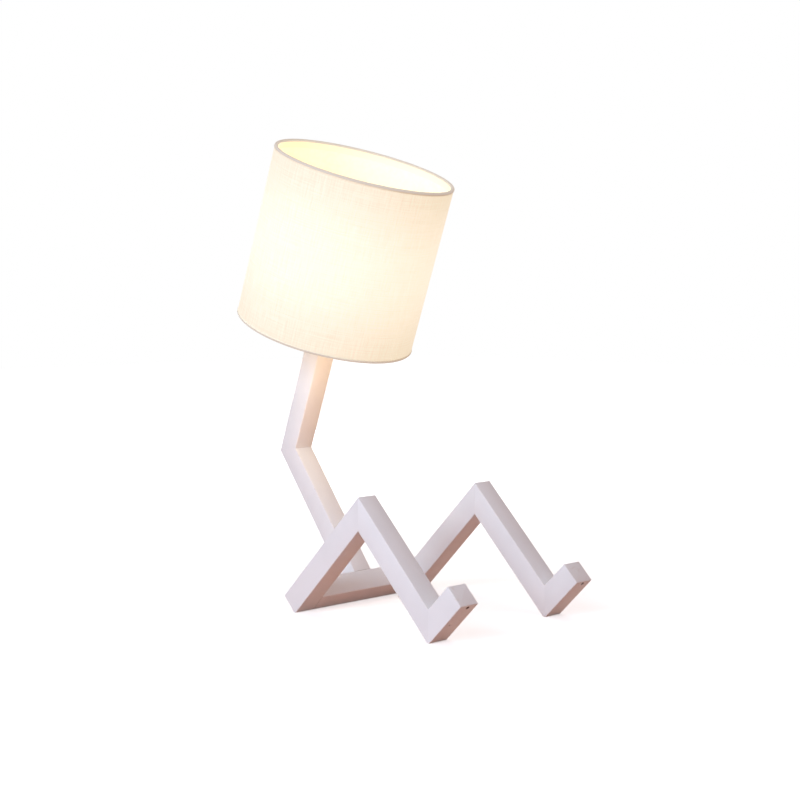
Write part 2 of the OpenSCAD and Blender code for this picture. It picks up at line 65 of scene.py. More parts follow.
# %% [markdown]
# ## The side view
# A joiner sets such a lamp out as one full-size drawing of its side, because each bar lies in that plane
# or runs straight across it. The corners could be read from the loaded solids, but then nothing would say
# why a corner is where it is. So the drawing is made again from the few sizes that drive the source. A
# point of it is (u, z): u runs forward from the edge that the lamp sits on, and z is the height.

# %% Driving sizes of the bars
MM = 0.001
BAR = 20 * MM
LEG_X = 70 * MM
THIGH_LEN = 134 * MM
SOLE_LEN = 50 * MM
LEG_SLOPE = math.radians(45)
FLAT_DEPTH = 1.5 * MM
BACK_LEN = 132 * MM
BACK_LEAN = math.radians(37.7)
NECK_LEN = 105 * MM
NECK_LEAN = math.radians(20.5)
RIGHT_ANGLE = math.radians(90)


def heading(angle):
    """A direction of the side view, by its angle above the line that runs forward."""
    return Vector((math.cos(angle), math.sin(angle)))


print("bars of", BAR / MM, "mm, legs", 2 * LEG_X / MM, "mm apart")

# %% Corners of the legs
thigh_run = heading(LEG_SLOPE)
shin_run = heading(-LEG_SLOPE)
sole_run = heading(RIGHT_ANGLE - LEG_SLOPE)
thigh_under = THIGH_LEN - BAR * math.tan(LEG_SLOPE)
HIP_LOW = Vector((0, -FLAT_DEPTH))
HIP_TOP = HIP_LOW + BAR * heading(RIGHT_ANGLE + LEG_SLOPE)
KNEE_IN = HIP_LOW + thigh_under * thigh_run
KNEE_OUT = KNEE_IN + Vector((0, BAR / math.cos(LEG_SLOPE)))
HEEL = KNEE_IN + thigh_under * shin_run
INSTEP = HEEL + BAR * (sole_run - shin_run)
TOE_LOW = HEEL + SOLE_LEN * sole_run
TOE_TOP = TOE_LOW - BAR * shin_run
RAIL_TOP = HIP_TOP + BAR * thigh_run
print("knees", round(KNEE_OUT.y / MM, 1), "mm high, toes", round(TOE_LOW.x / MM, 1), "mm forward")

# %% Corners of the back and the neck
back_run = heading(RIGHT_ANGLE + BACK_LEAN)
back_forward = heading(BACK_LEAN)
neck_run = heading(RIGHT_ANGLE - NECK_LEAN)
neck_forward = heading(-NECK_LEAN)
bend_half = (BACK_LEAN + NECK_LEAN) / 2
bend_tilt = (BACK_LEAN - NECK_LEAN) / 2
BEND_FRONT = RAIL_TOP + BACK_LEN * back_run
BEND_REAR = BEND_FRONT - BAR / math.cos(bend_half) * heading(bend_tilt)
POST_REAR = RAIL_TOP - BAR / math.cos(LEG_SLOPE - BACK_LEAN) * thigh_run
POST_FOOT = (RAIL_TOP + POST_REAR) / 2
NECK_TOP = BEND_FRONT + NECK_LEN * neck_run - BAR / 2 * neck_forward
print("bend", round(BEND_FRONT.y / MM, 1), "mm high, end of the neck", round(NECK_TOP.y / MM, 1), "mm high")

# %% From the side view to space
# The toes are the front of the box, and that gives the place of u = 0.
HIP_Y = cad_box[0][1] + TOE_LOW.x


def spot(x, point):
    """A point of the side view in space."""
    return Vector((x, HIP_Y - point[0], point[1]))


def facing(run):
    """A direction of the side view in space, one metre long."""
    return Vector((0, -run[0], run[1])).normalized()


NECK_FRAME = Matrix.Translation(spot(0, NECK_TOP)) @ Matrix.Rotation(NECK_LEAN, 4, "X")
print("the sitting edge is at y =", round(HIP_Y, 5))

# %% [markdown]
# ## Camera
# The photograph fixes the view. A camera can be moved by hand until the picture looks right, but the eye
# trades distance for lens. So a pinhole camera was fitted to the corners of the bars and the rims of the
# shade, which settles both. It looks at the lamp's front right, almost level, from 1.3 m away. Blender's
# lens is in millimetres on a sensor, so the fitted focal length in pixels is turned into that.

# %% Camera
AZIMUTH = math.radians(-44.22)
ELEVATION = math.radians(3.72)
DISTANCE = 1.30196
AIM_ACROSS = 0.03338
AIM_UP = 0.18094
FOCAL_PIXELS = 1462.4
FRAME_PIXELS = 800
SENSOR_MM = 36
level = Vector((math.sin(AZIMUTH), -math.cos(AZIMUTH), 0))
across = Vector((math.cos(AZIMUTH), math.sin(AZIMUTH), 0))
to_camera = math.cos(ELEVATION) * level + Vector((0, 0, math.sin(ELEVATION)))
target = spot(0, HIP_LOW) + AIM_ACROSS * across + Vector((0, 0, AIM_UP))
bpy.ops.object.camera_add(location=target + DISTANCE * to_camera)
camera = bpy.context.object
camera.name = "photo_camera"
camera.rotation_mode = "QUATERNION"
camera.rotation_quaternion = (-to_camera).to_track_quat("-Z", "Y")
camera.data.sensor_width = SENSOR_MM
camera.data.lens = SENSOR_MM * FOCAL_PIXELS / FRAME_PIXELS
bpy.context.scene.camera = camera
print("camera at", tuple(round(v, 3) for v in camera.location), "lens", round(camera.data.lens, 2))

# %% [markdown]
# ## Nodes in code
# Floor, world and all finishes are node trees. In the editor each node is added, filled in and wired by
# mouse. In code the same three steps repeat many times, so small helpers take them. The last one asks the
# Light Path node what kind of ray arrives. The floor and the world need that to look white and still
# light the lamp softly.

# %% Node helpers
def add_node(tree, kind, **inputs):
    """Adds a node and sets its sockets by name, with _ for a space."""
    made = tree.nodes.new(kind)
    for name, value in inputs.items():
        made.inputs[name.replace("_", " ")].default_value = value
    return made


def maths(tree, operation, first, second=None):
    """Adds a Math node on two values, each a socket or a number."""
    made = tree.nodes.new("ShaderNodeMath")
    made.operation = operation
    for slot, value in enumerate((first, second)):
        if isinstance(value, bpy.types.NodeSocket):
            tree.links.new(value, made.inputs[slot])
        elif value is not None:
            made.inputs[slot].default_value = value
    return made.outputs[0]


def seen_directly(tree):
    """1 for rays from the camera and for reflected and transmitted rays, and 0 for the rest."""
    path = tree.nodes.new("ShaderNodeLightPath")
    mirror = maths(tree, "MAXIMUM", path.outputs["Is Glossy Ray"], path.outputs["Is Transmission Ray"])
    return maths(tree, "MAXIMUM", path.outputs["Is Camera Ray"], mirror)


print("node helpers:", ", ".join(helper.__name__ for helper in (add_node, maths, seen_directly)))

# %% [markdown]
# ## Floor
# The photograph has a white ground. A bright white floor would throw light up on to the bars, whose
# undersides are tan in the photograph. So the floor is white only to the camera and to reflections, and
# all other rays meet a warm table. The floor still takes the lamp's shadow: its white is part reflected
# light and part glow, and the glow grows with the distance from the lamp, so the far floor is plain
# white.

# %% Floor
FLOOR_SIDE = 9
FLOOR_DROP = 0.2 * MM
bpy.ops.object.select_all(action="DESELECT")
bpy.ops.mesh.primitive_plane_add(size=FLOOR_SIDE, location=(0, 0, -FLOOR_DROP))
floor = bpy.context.object
floor.name = "floor"
bpy.ops.object.transform_apply(location=True, rotation=True, scale=True)
floor_paint = bpy.data.materials.new("white_ground")
floor_paint.use_nodes = True
tree = floor_paint.node_tree
tree.nodes.clear()
table_tone = add_node(tree, "ShaderNodeBsdfDiffuse", Color=(0.64, 0.305, 0.19, 1))
ground = add_node(tree, "ShaderNodeBsdfDiffuse", Color=(0.85, 0.85, 0.85, 1))
lift = add_node(tree, "ShaderNodeEmission", Color=(1, 1, 1, 1))
bright = tree.nodes.new("ShaderNodeAddShader")
chosen = tree.nodes.new("ShaderNodeMixShader")
out = tree.nodes.new("ShaderNodeOutputMaterial")
away = tree.nodes.new("ShaderNodeVectorMath")
away.operation = "LENGTH"
tree.links.new(tree.nodes.new("ShaderNodeTexCoord").outputs["Object"], away.inputs[0])
rise = add_node(tree, "ShaderNodeMapRange", From_Min=0.15, From_Max=0.7, To_Min=0.55, To_Max=1.0)
tree.links.new(away.outputs["Value"], rise.inputs["Value"])
tree.links.new(rise.outputs[0], lift.inputs["Strength"])
tree.links.new(ground.outputs[0], bright.inputs[0])
tree.links.new(lift.outputs[0], bright.inputs[1])
tree.links.new(seen_directly(tree), chosen.inputs[0])
tree.links.new(table_tone.outputs[0], chosen.inputs[1])
tree.links.new(bright.outputs[0], chosen.inputs[2])
tree.links.new(chosen.outputs[0], out.inputs["Surface"])
floor.data.materials.append(floor_paint)
print("floor laid at z =", round(floor.data.vertices[0].co.z, 5))

# %% [markdown]
# ## World
# The world is the room round the lamp. A picture of a studio could light it, but no image is needed for a
# soft, even grey. The camera and reflections see white, as on the floor, and all other rays see the warm
# grey room.

# %% World
bpy.context.scene.view_settings.view_transform = "Standard"
world = bpy.data.worlds.new("studio")
world.use_nodes = True
bpy.context.scene.world = world
tree = world.node_tree
tree.nodes.clear()
room = add_node(tree, "ShaderNodeBackground", Color=(0.83, 0.68, 0.68, 1), Strength=0.37)
white = add_node(tree, "ShaderNodeBackground", Color=(1, 1, 1, 1), Strength=1.0)
chosen = tree.nodes.new("ShaderNodeMixShader")
out = tree.nodes.new("ShaderNodeOutputWorld")
tree.links.new(seen_directly(tree), chosen.inputs[0])
tree.links.new(room.outputs[0], chosen.inputs[1])
tree.links.new(white.outputs[0], chosen.inputs[2])
tree.links.new(chosen.outputs[0], out.inputs["Surface"])
print("world:", world.name, "at strength", round(room.inputs["Strength"].default_value, 2))

# %% [markdown]
# ## Lamps
# In the photograph the sides that face left are the lightest. Three soft area lights do the studio's
# work: a cool window on the left, a weak fill from above, and a fill from behind so that the rear isn't
# lost in the dark. Sun lamps would be simpler, but their shadows are too hard for this picture.
#
# Two small lamps stand for the bulb. One is inside the globe. The other is the warm light that comes back
# out of the shade's lower opening. Light that bounces so often is slow to render and noisy, so a small
# area light gives it, and light linking keeps it on the back and the neck.

# %% Studio lamps
LAMP_MIDDLE = (0, 0, 0.2)


def soft_lamp(name, place, aim, size, watts, colour):
    """An area light that looks at a point."""
    bpy.ops.object.light_add(type="AREA", location=place)
    lamp = bpy.context.object
    lamp.name = name
    lamp.rotation_euler = (Vector(aim) - Vector(place)).to_track_quat("-Z", "Y").to_euler()
    lamp.data.size = size
    lamp.data.energy = watts
    lamp.data.color = colour
    lamp.visible_camera = False
    lamp.visible_glossy = False
    return lamp


soft_lamp("left_window", place=(-1.7, -0.35, 0.75), aim=LAMP_MIDDLE, size=1.1, watts=27.4,
          colour=(0.70, 0.84, 1.0))
soft_lamp("high_fill", place=(0.5, -0.9, 1.9), aim=LAMP_MIDDLE, size=1.4, watts=5.0,
          colour=(1.0, 0.70, 0.65))
soft_lamp("rear_fill", place=(0.9, 1.5, 0.45), aim=LAMP_MIDDLE, size=1.4, watts=12.0,
          colour=(0.94, 0.95, 1.0))

# %% Light of the bulb
# Heights are in millimetres above the end of the neck.
CAP_LOW = 37.3
CAP_H = 20
CAP_TOP = CAP_LOW + CAP_H
HOUSING_H = 19
HOUSING_TOP = CAP_TOP + HOUSING_H
HOUSING_R = 19
GLOBE_R = 22.5
GLOBE_MID = HOUSING_TOP + math.sqrt(GLOBE_R ** 2 - HOUSING_R ** 2)
BULB_HEIGHT = GLOBE_MID * MM
bounce = soft_lamp("warm_bounce", place=(-0.04, -0.03, 0.185), aim=(0, 0.095, 0.180), size=0.06, watts=0.047,
                   colour=(1.0, 0.71, 0.44))
bounce.data.spread = math.radians(130)
bpy.ops.object.light_add(type="POINT", location=NECK_FRAME @ Vector((0, 0, BULB_HEIGHT)))
glow_lamp = bpy.context.object
glow_lamp.name = "bulb_glow"
glow_lamp.data.energy = 0.40
glow_lamp.data.color = (1.0, 0.82, 0.60)
glow_lamp.data.shadow_soft_size = 20 * MM
glow_lamp.visible_camera = False
print("middle of the globe", round(GLOBE_MID, 2), "mm up the neck's axis")

# %% [markdown]
# ## Paint
# The timber is sprayed white, satin, with the grain just telling through and a little wear on the edges.
# A picture of painted wood would repeat and blur close up, so noise makes it. The pattern has to follow
# each bar whatever way it leans, so every bar carries an attribute called grain: two places across the
# bar and one along it. A noise that is squeezed across and stretched along gives the pores. A finer one
# gives the spray's orange peel, and a broad one lets the tone and the gloss wander.

# %% Colours and values of a finish
def principled(name):
    """A new material, its tree and its Principled shader."""
    material = bpy.data.materials.new(name)
    material.use_nodes = True
    return material, material.node_tree, material.node_tree.nodes["Principled BSDF"]


def ramp(tree, value, low, high, start=0.0, end=1.0):
    """Colours that run from low to high as a value goes from start to end."""
    made = tree.nodes.new("ShaderNodeValToRGB")
    made.color_ramp.elements[0].position = start
    made.color_ramp.elements[0].color = (*low, 1)
    made.color_ramp.elements[1].position = end
    made.color_ramp.elements[1].color = (*high, 1)
    tree.links.new(value, made.inputs[0])
    return made.outputs["Color"]


def spread(tree, value, low, high):
    """A value from 0 to 1, spread between low and high."""
    made = add_node(tree, "ShaderNodeMapRange", To_Min=low, To_Max=high)
    tree.links.new(value, made.inputs["Value"])
    return made.outputs[0]


print("colour helpers:", ", ".join(helper.__name__ for helper in (principled, ramp, spread)))

# %% Patterns and relief of a finish
def noise(tree, vector, scale, detail=4.0, stretch=(1, 1, 1)):
    """Noise on a coordinate that is stretched by a Mapping node."""
    mapping = add_node(tree, "ShaderNodeMapping", Scale=stretch)
    made = add_node(tree, "ShaderNodeTexNoise", Scale=scale, Detail=detail)
    tree.links.new(vector, mapping.inputs["Vector"])
    tree.links.new(mapping.outputs[0], made.inputs["Vector"])
    return made.outputs["Fac"]


def relief(tree, shader, height, distance, strength):
    """Bump from a height, with its distance in metres, chained on what is there."""
    made = add_node(tree, "ShaderNodeBump", Strength=strength, Distance=distance)
    before = shader.inputs["Normal"].links
    if before:
        tree.links.new(before[0].from_socket, made.inputs["Normal"])
    tree.links.new(height, made.inputs["Height"])
    tree.links.new(made.outputs[0], shader.inputs["Normal"])


print("pattern helpers:", ", ".join(helper.__name__ for helper in (noise, relief)))

# %% Painted timber
BARE_TIMBER = (0.62, 0.50, 0.38, 1)


def timber_paint(name, light, dark, nicks):
    """White satin paint over timber. Nicks, from 0 to 1, lets worn spots through."""
    material, tree, shader = principled(name)
    grain = tree.nodes.new("ShaderNodeAttribute")
    grain.attribute_name = "grain"
    place = grain.outputs["Vector"]
    pores = noise(tree, place, scale=30.0, detail=6.0, stretch=(55, 55, 2.5))
    peel = noise(tree, place, scale=900.0, detail=2.0)
    cloud = noise(tree, place, scale=22.0, detail=3.0)
    tone = ramp(tree, cloud, dark, light, start=0.30, end=0.62)
    if nicks:
        spots = noise(tree, place, scale=160.0, detail=5.0)
        worn = ramp(tree, spots, (0, 0, 0), (nicks, nicks, nicks), start=0.60, end=0.72)
        mix = tree.nodes.new("ShaderNodeMix")
        mix.data_type = "RGBA"
        tree.links.new(worn, mix.inputs["Factor"])
        tree.links.new(tone, mix.inputs["A"])
        mix.inputs["B"].default_value = BARE_TIMBER
        tone = mix.outputs["Result"]
    tree.links.new(tone, shader.inputs["Base Color"])
    tree.links.new(spread(tree, cloud, 0.36, 0.56), shader.inputs["Roughness"])
    relief(tree, shader, pores, distance=0.25 * MM, strength=0.35)
    relief(tree, shader, peel, distance=0.06 * MM, strength=0.30)
    shader.inputs["Specular IOR Level"].default_value = 0.40
    return material


bar_paint = timber_paint("satin_paint", (0.875, 0.87, 0.88), (0.825, 0.82, 0.83), nicks=0)
edge_paint = timber_paint("satin_paint_on_edges", (0.89, 0.875, 0.88), (0.82, 0.80, 0.80), nicks=0.35)
print("paints:", bar_paint.name, edge_paint.name)

# %% [markdown]
# ## Bars
# A bar is planed square, its long edges are eased, and its ends are cut to the mitre. The outline could
# also be extruded in one go, but then no edge would be eased evenly into the mitre. The workshop's own
# order works here: a cube is stretched to a long bar, its four long edges are bevelled, and Bisect cuts
# the ends. Because the edges are eased before the cut, the two bars of a mitre meet with the same
# section. The cut edges get a hair of a bevel, which is the fine line that a painted joint shows close
# up. Edges that meet nothing are eased fully.

# %% Selecting in code
def select_only(piece):
    """Selects one piece alone and makes it the active one."""
    bpy.ops.object.select_all(action="DESELECT")
    piece.select_set(True)
    bpy.context.view_layer.objects.active = piece


def edit(piece):
    """Opens one piece in edit mode, with nothing else selected."""
    if bpy.context.object and bpy.context.object.mode != "OBJECT":
        bpy.ops.object.mode_set(mode="OBJECT")
    select_only(piece)
    bpy.ops.object.mode_set(mode="EDIT")


def pick(kind, test):
    """Selects the vertices, edges or faces that pass a test, and says how many."""
    bpy.ops.mesh.select_mode(type=kind)
    bpy.ops.mesh.select_all(action="DESELECT")
    mesh = bmesh.from_edit_mesh(bpy.context.object.data)
    parts = {"VERT": mesh.verts, "EDGE": mesh.edges, "FACE": mesh.faces}[kind]
    found = [part for part in parts if test(part)]
    for part in found:
        part.select = True
    mesh.select_flush_mode()
    bmesh.update_edit_mesh(bpy.context.object.data)
    return len(found)


print("selected before the first bar:", [o.name for o in bpy.context.selected_objects])

# %% Making a bar
EASE = 0.8 * MM
PARALLEL = 0.99
bars = []


def make_bar(name, start, end, x=0.0, width=None):
    """A square bar between two points of the side view, longer than needed, with its long edges eased.
    With a width, the bar runs across the lamp instead, and the points are the middles of its two faces."""
    bpy.ops.object.select_all(action="DESELECT")
    run = end - start
    middle = spot(x, (start + end) / 2)
    turn = math.atan2(run.x, run.y)
    bpy.ops.mesh.primitive_cube_add(size=1, location=middle, rotation=(turn, 0, 0))
    piece = bpy.context.object
    piece.name = name
    piece.scale = (BAR, BAR, run.length + 2 * BAR) if width is None else (width, BAR, run.length)
    bpy.ops.object.transform_apply(location=True, rotation=True, scale=True)
    piece.data.materials.append(bar_paint)
    piece.data.materials.append(edge_paint)
    along = facing(run) if width is None else Vector((1, 0, 0))
    edit(piece)
    pick("EDGE", lambda e: abs((e.verts[0].co - e.verts[1].co).normalized().dot(along)) > PARALLEL)
    bpy.ops.mesh.bevel(offset=EASE, segments=3, profile=0.5, affect="EDGES", clamp_overlap=False, material=1)
    bpy.ops.object.mode_set(mode="OBJECT")
    bars.append((piece, along, middle))
    return piece


print("long edges are eased by", EASE / MM, "mm")

# %% Cutting a bar
HAIRLINE = 0.12 * MM
ON_PLANE = 0.001 * MM


def cut(piece, first, second, keep, ease=HAIRLINE):
    """Cuts a bar along the plane through two points of the side view. The end that holds a third point
    is kept, and the new edges are eased."""
    origin = spot(0, first)
    away = (spot(0, second) - origin).cross(Vector((1, 0, 0))).normalized()
    if away.dot(spot(0, keep) - origin) > 0:
        away = -away
    steps = 1 if ease < EASE else 3
    edit(piece)
    bpy.ops.mesh.select_all(action="SELECT")
    bpy.ops.mesh.bisect(plane_co=origin, plane_no=away, use_fill=True, clear_outer=True)
    pick("EDGE", lambda e: all(abs((v.co - origin).dot(away)) < ON_PLANE for v in e.verts))
    bpy.ops.mesh.bevel(offset=ease, segments=steps, affect="EDGES", clamp_overlap=False, material=1)
    bpy.ops.object.mode_set(mode="OBJECT")


print("edges of a joint are eased by", HAIRLINE / MM, "mm")

# %% [markdown]
# ## Legs
# Each leg is a thigh, a shin and a foot, mitred at the knee and the ankle. The edges that touch the table
# are planed to narrow flats. One leg could be mirrored to make the other, but a mirrored mesh is turned
# inside out and has to be mended. A loop over the two sides makes each leg afresh, and the grain can
# differ too.

# %% Legs
HIP_MID = (HIP_LOW + HIP_TOP) / 2
KNEE_MID = (KNEE_IN + KNEE_OUT) / 2
HEEL_MID = (HEEL + INSTEP) / 2
TOE_MID = (TOE_LOW + TOE_TOP) / 2
TABLE_LINE = (Vector((0, 0)), Vector((1, 0)))
SIDES = {"right": -LEG_X, "left": LEG_X}
for side, x in SIDES.items():
    thigh = make_bar(f"painted_thigh_{side}", HIP_MID, KNEE_MID, x)
    cut(thigh, HIP_LOW, HIP_TOP, KNEE_MID, EASE)
    cut(thigh, KNEE_IN, KNEE_OUT, HIP_MID)
    cut(thigh, *TABLE_LINE, KNEE_MID)
    shin = make_bar(f"painted_shin_{side}", KNEE_MID, HEEL_MID, x)
    cut(shin, KNEE_IN, KNEE_OUT, HEEL_MID)
    cut(shin, HEEL, INSTEP, KNEE_MID)
    cut(shin, *TABLE_LINE, KNEE_MID)
    foot = make_bar(f"painted_foot_{side}", HEEL_MID, TOE_MID, x)
    cut(foot, HEEL, INSTEP, TOE_MID)
    cut(foot, TOE_LOW, TOE_TOP, HEEL_MID, EASE)
    cut(foot, *TABLE_LINE, TOE_MID)
    for piece, node in ((thigh, "thigh"), (shin, "shin"), (foot, "foot")):
        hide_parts(f"{node}_{side}")
    print(side, "leg:", [len(p.data.polygons) for p in (thigh, shin, foot)], "faces")

# %% [markdown]
# ## Seat rail, back and neck
# The rail joins the two thighs and carries the back, which leans to the rear and is mitred to the neck.
# Back and neck could be one bar, bent at the joint, but a mitre has a fine line across it and the grain
# turns there. They are the same stock as the legs, so the same two steps make them: a long bar, then
# its cuts. The warm lamp under the shade is linked to the two posts here, because light linking needs
# the finished objects.

# %% Seat rail, back and neck
rail = make_bar("painted_rail", HIP_MID, HIP_MID + BAR * thigh_run, width=2 * LEG_X - BAR)
cut(rail, *TABLE_LINE, RAIL_TOP)
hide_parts("seat_rail")
BEND_MID = (BEND_FRONT + BEND_REAR) / 2
back_bar = make_bar("painted_back", POST_FOOT, BEND_MID)
cut(back_bar, RAIL_TOP, POST_REAR, BEND_MID)
cut(back_bar, BEND_FRONT, BEND_REAR, POST_FOOT)
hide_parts("back_post")
neck_bar = make_bar("painted_neck", BEND_MID, NECK_TOP)
cut(neck_bar, BEND_FRONT, BEND_REAR, NECK_TOP)
cut(neck_bar, NECK_TOP, NECK_TOP + neck_forward, BEND_MID, EASE)
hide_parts("neck_post")
under_shade = bpy.data.collections.new("posts_under_the_shade")
for post in (back_bar, neck_bar):
    under_shade.objects.link(post)
bounce.light_linking.receiver_collection = under_shade
print("rail, back and neck:", [len(p.data.polygons) for p in (rail, back_bar, neck_bar)], "faces")

# %% [markdown]
# ## Holes in the bars
# Each sole has a small dark hole close to the toe, the right sole has a faint painted-over dimple at its
# middle, and the back has the hole that the cord bush sits in. A hole can be drawn with a dark spot in
# the material, but that has no depth from the side. A drill bit is a cylinder, so a Boolean modifier
# takes a cylinder away and is applied at once. The bit carries a material, which the Boolean leaves on
# the wall of the hole.
# That material is nearly black: bare end grain, with the shade deep in the narrow hole painted in.

# %% Drilling
HOLE_STEPS = 40
LEAD_IN = 2 * MM


def drilled_timber_painted_shade():
    """Bare timber in a drilled hole, with tool marks: end grain painted nearly black, the shade deep in the
    hole painted in.
    """
    material, tree, shader = principled("drilled_timber_painted_shade")
    place = tree.nodes.new("ShaderNodeTexCoord").outputs["Object"]
    marks = noise(tree, place, scale=900.0, detail=4.0)
    # Painted shade: the wall is far darker than bare timber, as the shade deep in a narrow hole.
    tone = ramp(tree, marks, (0.030, 0.020, 0.014), (0.085, 0.055, 0.035), start=0.3, end=0.7)
    tree.links.new(tone, shader.inputs["Base Color"])
    tree.links.new(spread(tree, marks, 0.75, 0.95), shader.inputs["Roughness"])
    relief(tree, shader, marks, distance=0.1 * MM, strength=0.5)
    return material


def drill(piece, mouth, inward, diameter, depth, coat):
    """Takes a blind round hole out of a piece. The bit's material goes on the wall of the hole."""
    bpy.ops.object.select_all(action="DESELECT")
    middle = mouth + inward * (depth - LEAD_IN) / 2
    turn = inward.to_track_quat("Z", "Y").to_euler()
    bpy.ops.mesh.primitive_cylinder_add(
        vertices=HOLE_STEPS, radius=diameter / 2, depth=depth + LEAD_IN, location=middle, rotation=turn)
    bit = bpy.context.object
    bit.data.materials.append(coat)
    select_only(piece)
    bpy.ops.object.modifier_add(type="BOOLEAN")
    piece.modifiers[-1].operation = "DIFFERENCE"
    piece.modifiers[-1].object = bit
    piece.modifiers[-1].material_mode = "TRANSFER"
    bpy.ops.object.modifier_apply(modifier=piece.modifiers[-1].name)
    bpy.data.objects.remove(bit)


shaded_hole_wall = drilled_timber_painted_shade()
print("wall of the holes:", shaded_hole_wall.name)

# %% Holes of the soles and the back
TOE_HOLE_EDGE = 3.2 * MM
TOE_HOLE_D = 3 * MM
TOE_HOLE_DEPTH = 10 * MM
DIMPLE_OFF_MIDDLE = 4 * MM
DIMPLE_D = 2.4 * MM
DIMPLE_DEPTH = 1.2 * MM
BUSH_HEIGHT = 34 * MM
BUSH_R = 5
FIT = 0.05
into_sole = facing(TOE_TOP - TOE_LOW)
for side, x in SIDES.items():
    foot = bpy.data.objects[f"painted_foot_{side}"]
    toe_hole = spot(x, TOE_LOW - TOE_HOLE_EDGE * sole_run)
    drill(foot, toe_hole, into_sole, TOE_HOLE_D, TOE_HOLE_DEPTH, shaded_hole_wall)
    if side == "right":
        dimple = spot(x - DIMPLE_OFF_MIDDLE, (HEEL + TOE_LOW) / 2)
        drill(foot, dimple, into_sole, DIMPLE_D, DIMPLE_DEPTH, edge_paint)
BUSH_FACE = spot(0, POST_FOOT + BUSH_HEIGHT * back_run - BAR / 2 * back_forward)
BUSH_OUT = facing(-back_forward)
drill(back_bar, BUSH_FACE, -BUSH_OUT, 2 * (BUSH_R + FIT) * MM, BAR / 2, shaded_hole_wall)
print("holes drilled, so the back now has", len(back_bar.data.polygons), "faces")

# %% [markdown]
# ## Grain of the bars
# The paint reads an attribute, and this is where each bar gets it. A UV map would do as well, but it has
# to be unwrapped and has seams at the edges. An attribute holds three numbers for each point, so the
# pattern runs through the bar as grain runs through timber. Each bar starts at another place in the
# noise, so no two match.

# %% Grain and finish of the bars
GRAIN_STEP = 0.37
BAR_SMOOTH = math.radians(25)
for count, (piece, along, middle) in enumerate(bars):
    sideways = Vector((1, 0, 0)) if piece is not rail else Vector((0, 1, 0))
    through = along.cross(sideways).normalized()
    grain = piece.data.attributes.new("grain", "FLOAT_VECTOR", "POINT")
    for vertex, place in zip(piece.data.vertices, grain.data):
        local = vertex.co - middle
        place.vector = (local.dot(sideways) + GRAIN_STEP * count, local.dot(through), local.dot(along))
    select_only(piece)
    bpy.ops.object.shade_smooth_by_angle(angle=BAR_SMOOTH)
    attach(piece, "frame")
print("finished", len(bars), "bars")

# %% [markdown]
# ## Shade cloth
# The head is a drum of plain linen on a stiff liner, glued in one lap seam, with both edges rolled round
# a wire. The lamp is lit, so the cloth glows: most at the height of the bulb, less towards the rims. A
# light inside a translucent cloth would do this too, but a glow that is painted by the distance from the
# bulb stays with the model wherever it goes. It is an emission colour on Object coordinates, turned into
# the shade's own frame by a Mapping node, so that its z is the height above the bulb. The weave comes
# from the drum's UV map. The wires let no light through, so the outer side of each rim is a thin dark
# line, and the cloth round the wires gets a material of its own.
# The thin dark line is painted shade: the rims' base colour is dark where the wire stops the light.

# %% Sizes of the shade
SHADE_D = 163 * MM
SHADE_H = 156 * MM
SHADE_START = 8 * MM
WIRE_D = 2.2 * MM
CLOTH_T = 0.6 * MM
RIM_PROUD = 0.5 * MM
RIM_R = WIRE_D / 2 + CLOTH_T
RING_R = SHADE_D / 2 - RIM_R
CLOTH_R = SHADE_D / 2 - RIM_PROUD
RIM_LOW = SHADE_START + RIM_R
RIM_HIGH = SHADE_START + SHADE_H - RIM_R
CLOTH_H = RIM_HIGH - RIM_LOW
print("cloth", round(2 * CLOTH_R / MM, 1), "mm wide,", round(CLOTH_H / MM, 1), "mm between its wires")

# %% Glow of the bulb on the cloth
GLOW_FALL = -1.25


def height_over_bulb(tree):
    """The height above the bulb's middle along the neck, and the coordinates it comes from."""
    into = (NECK_FRAME @ Matrix.Translation((0, 0, BULB_HEIGHT))).inverted()
    place = tree.nodes.new("ShaderNodeTexCoord").outputs["Object"]
    mapping = add_node(tree, "ShaderNodeMapping", Location=into.to_translation(), Rotation=into.to_euler())
    split = tree.nodes.new("ShaderNodeSeparateXYZ")
    tree.links.new(place, mapping.inputs["Vector"])
    tree.links.new(mapping.outputs[0], split.inputs[0])
    return split.outputs["Z"], mapping.outputs[0]


def bulb_light(tree, height):
    """How strongly the bulb lights the drum's wall: 1 at its own height, and less above and below."""
    share = maths(tree, "DIVIDE", height, CLOTH_R)
    square = maths(tree, "MULTIPLY", share, share)
    return maths(tree, "POWER", maths(tree, "ADD", square, 1.0), GLOW_FALL)


rim_share = (RIM_HIGH - BULB_HEIGHT) / CLOTH_R
print("at the upper rim the glow falls to", round((1 + rim_share ** 2) ** GLOW_FALL, 2))

